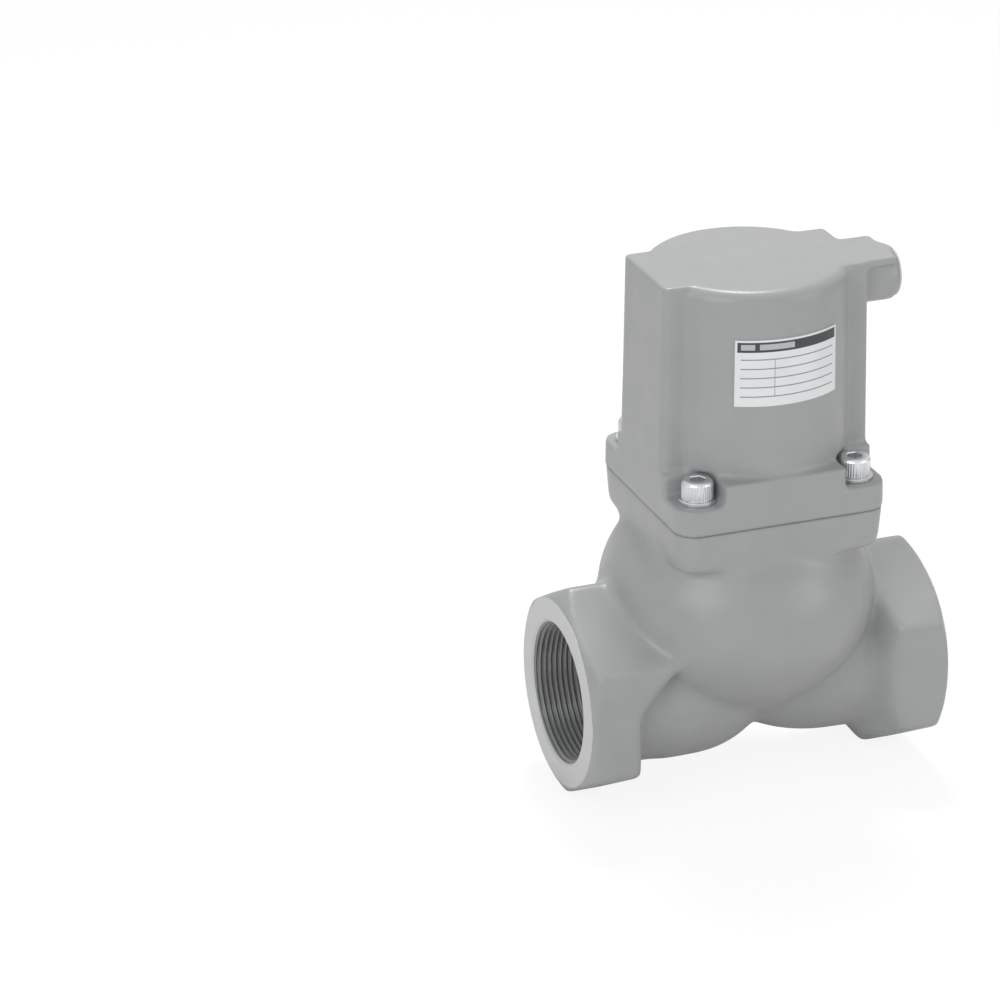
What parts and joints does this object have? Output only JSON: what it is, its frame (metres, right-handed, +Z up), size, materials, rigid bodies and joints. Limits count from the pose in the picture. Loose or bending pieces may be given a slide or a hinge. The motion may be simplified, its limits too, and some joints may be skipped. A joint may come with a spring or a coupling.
{
  "type": "air operated valve",
  "caption": "Air-operated two-way globe valve with hexagon screwed ports and a spring-return piston under a cast cover.",
  "frame": {"origin": "middle of the inlet port's face, on the pipe axis", "axes": "+X from the inlet to the outlet along the pipe, +Z up along the stem, -Y towards the nameplate"},
  "size_m": [0.16, 0.115, 0.2283],
  "materials": {
    "casting": "satin grey paint over a casting",
    "machined": "turned",
    "bronze": "sintered",
    "seal": "matt",
    "light_alloy": "turned",
    "guide_band": "moulded",
    "fastener": "plated",
    "spring_steel": "drawn wire",
    "foil": "satin foil"
  },
  "bodies": {
    "housing": {"body": "casting", "cover": "casting", "gland_plate": "machined", "guide_bush": "bronze", "stem_packing": "seal", "packing_keeper": "machined", "air_seal": "seal", "air_seal_keeper": "machined", "body_ring": "seal", "cover_ring": "seal", "return_spring": "spring_steel", "spring_plate": "machined", "cover_bolts": "fastener", "bolt_washers": "fastener", "nameplate": "foil", "breather": "bronze"},
    "stem_set": {"stem": "machined", "piston": "light_alloy", "piston_packing": "seal", "piston_band": "guide_band", "piston_ring": "seal", "piston_nut": "fastener", "shutoff_disc": "machined", "valve_seal": "seal", "seal_retainer": "machined", "retainer_nut": "fastener"}
  },
  "joints": [
    {"name": "stem_lift", "type": "slide", "parent": "housing", "child": "stem_set", "axis": [0, 0, 1], "range_m": [0, 0.016], "stiffness_N_per_m": 6000, "springref_m": -0.02, "deforming": ["return_spring"]}
  ]
}
